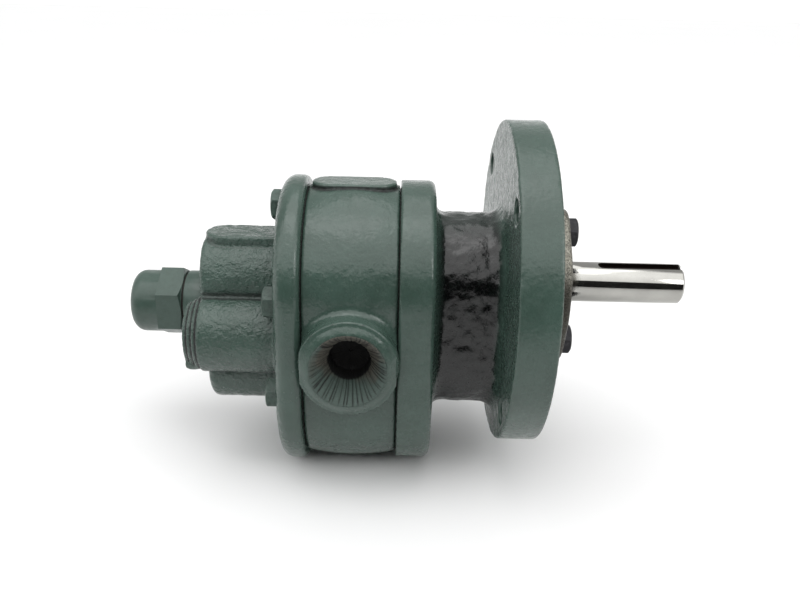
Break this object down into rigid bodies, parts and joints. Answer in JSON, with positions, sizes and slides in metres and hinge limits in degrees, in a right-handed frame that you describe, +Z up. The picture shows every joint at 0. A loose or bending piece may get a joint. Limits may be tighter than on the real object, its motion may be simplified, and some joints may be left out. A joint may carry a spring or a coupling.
{
  "type": "hydraulic gear pump",
  "caption": "Flange-mounted external gear pump: two meshing gears in an oval cast housing, side ports, keyed drive shaft and a relief valve on the rear cover.",
  "frame": {"origin": "on the drive shaft's axis, in the plane of the flange's mounting face", "axes": "+X out along the drive shaft at the drive end, +Z up from the idler gear's axis to the drive gear's axis, the two ports face -Y and +Y"},
  "size_m": [0.266, 0.1492, 0.1667],
  "materials": {
    "enamel": "grey-green gloss enamel on an as-cast surface",
    "enamel_smooth": "grey-green enamel on turned steel",
    "enamel_fasteners": "grey-green enamel on bolt heads",
    "ground_steel": "ground and polished",
    "gear_steel": "machined and hardened",
    "key_steel": "bright drawn",
    "spring_steel": "oiled spring wire",
    "black_steel": "black oxide",
    "raw_iron": "bare machined iron with specks",
    "bronze": "sintered bronze",
    "copper": "soft copper washer",
    "seal_rubber": "nitrile rubber",
    "gasket": "dark fibre sheet",
    "port_liner": "pleated paper liner, half covered by paint"
  },
  "bodies": {
    "pump_body": {"gear_housing": "enamel", "rear_cover": "enamel", "front_bracket": "enamel", "front_gasket": "gasket", "rear_gasket": "gasket", "drive_bushing_rear": "bronze", "drive_bushing_front": "bronze", "drive_bushing_outboard": "bronze", "idler_bushing_rear": "bronze", "idler_bushing_front": "bronze", "seal_case": "key_steel", "seal_lip": "seal_rubber", "garter_spring": "spring_steel", "retainer_gasket": "gasket", "retainer_plate": "raw_iron", "retainer_bolts": "black_steel", "cover_bolts": "enamel_fasteners", "dowel_pins": "key_steel", "relief_seat": "gear_steel", "relief_spring": "spring_steel", "lock_nut": "key_steel", "relief_bonnet": "enamel_smooth", "lobe_plug": "enamel_fasteners"},
    "drive_rotor": {"drive_shaft": "ground_steel", "drive_gear": "gear_steel", "drive_gear_key": "key_steel"},
    "idler_rotor": {"idler_shaft": "ground_steel", "idler_gear": "gear_steel", "idler_gear_key": "key_steel"},
    "relief_poppet": {"relief_poppet": "gear_steel"},
    "spring_seat": {"spring_seat": "key_steel"},
    "adjusting_screw": {"adjusting_screw": "key_steel"},
    "cap_washer": {"cap_gasket": "copper"},
    "relief_cap": {"relief_cap": "enamel_smooth"}
  },
  "joints": [
    {"name": "drive_spin", "type": "hinge", "parent": "pump_body", "child": "drive_rotor", "pos_m": [0, 0, 0], "axis": [1, 0, 0], "continuous": true},
    {"name": "idler_spin", "type": "hinge", "parent": "pump_body", "child": "idler_rotor", "pos_m": [0, 0, -0.04445], "axis": [1, 0, 0], "continuous": true},
    {"name": "relief_lift", "type": "slide", "parent": "pump_body", "child": "relief_poppet", "axis": [-1, 0, 0], "range_m": [0, 0.004], "stiffness_N_per_m": 20000, "springref_m": -0.003, "deforming": ["relief_spring"]},
    {"name": "spring_seat_travel", "type": "slide", "parent": "pump_body", "child": "spring_seat", "axis": [1, 0, 0], "range_m": [-0.0015, 0.003], "deforming": ["relief_spring"]},
    {"name": "adjusting_screw_turn", "type": "hinge", "parent": "spring_seat", "child": "adjusting_screw", "pos_m": [-0.1712, 0.019, -0.02223], "axis": [1, 0, 0], "range_deg": [-362, 724]},
    {"name": "cap_washer_travel", "type": "slide", "parent": "pump_body", "child": "cap_washer", "axis": [-1, 0, 0], "range_m": [0, 0.009]},
    {"name": "relief_cap_turn", "type": "hinge", "parent": "cap_washer", "child": "relief_cap", "pos_m": [-0.1832, 0.019, -0.02223], "axis": [-1, 0, 0], "range_deg": [0, 2170]}
  ],
  "couplings": [
    {"joint": "idler_spin", "follows": "drive_spin", "ratio": -1},
    {"joint": "adjusting_screw_turn", "follows": "spring_seat_travel", "rad_per_m": 4188.8},
    {"joint": "relief_cap_turn", "follows": "cap_washer_travel", "rad_per_m": 4188.8}
  ]
}
